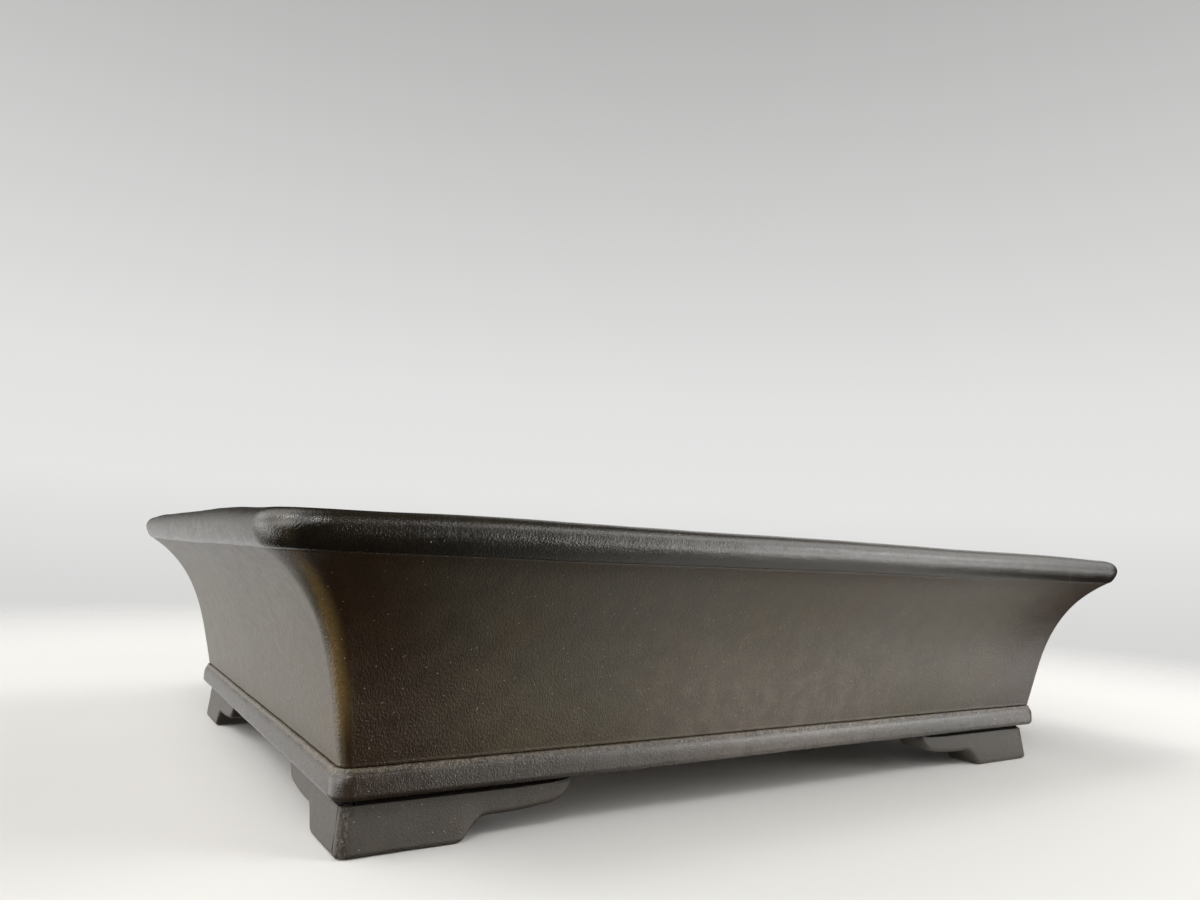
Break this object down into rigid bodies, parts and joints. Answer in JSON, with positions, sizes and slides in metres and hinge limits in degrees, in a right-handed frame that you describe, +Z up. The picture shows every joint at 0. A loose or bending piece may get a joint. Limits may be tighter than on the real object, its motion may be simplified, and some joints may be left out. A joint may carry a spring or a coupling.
{
  "type": "bonsai pot",
  "caption": "Rectangular unglazed bonsai pot with flared walls, thick rim, base band and bracket feet, open on top and drained through its floor.",
  "frame": {"origin": "on the surface that the feet stand on, under the middle of the pot", "axes": "+Z up, X along the long sides with the front at -Y, Y along the short sides"},
  "size_m": [0.4146, 0.3056, 0.1],
  "materials": {
    "wall_clay": "unglazed stoneware, fine sandy grain",
    "rim_clay": "unglazed stoneware, burnished to a low sheen",
    "band_clay": "unglazed stoneware, burnished to a low sheen",
    "foot_clay": "unglazed stoneware, fine sandy grain",
    "floor_clay": "unglazed stoneware, rough",
    "net_plastic": "moulded, matt",
    "clip_wire": "drawn wire, satin"
  },
  "bodies": {
    "root": {"wall_front": "wall_clay", "wall_right": "wall_clay", "wall_back": "wall_clay", "wall_left": "wall_clay", "rim_front": "rim_clay", "rim_right": "rim_clay", "rim_back": "rim_clay", "rim_left": "rim_clay", "band_front": "band_clay", "band_right": "band_clay", "band_back": "band_clay", "band_left": "band_clay", "floor_slab": "floor_clay", "foot_front_right": "foot_clay", "foot_back_left": "foot_clay", "foot_front_left": "foot_clay", "foot_back_right": "foot_clay", "drain_screen_left": "net_plastic", "drain_screen_right": "net_plastic", "screen_clip_left": "clip_wire", "screen_clip_right": "clip_wire"}
  },
  "joints": []
}
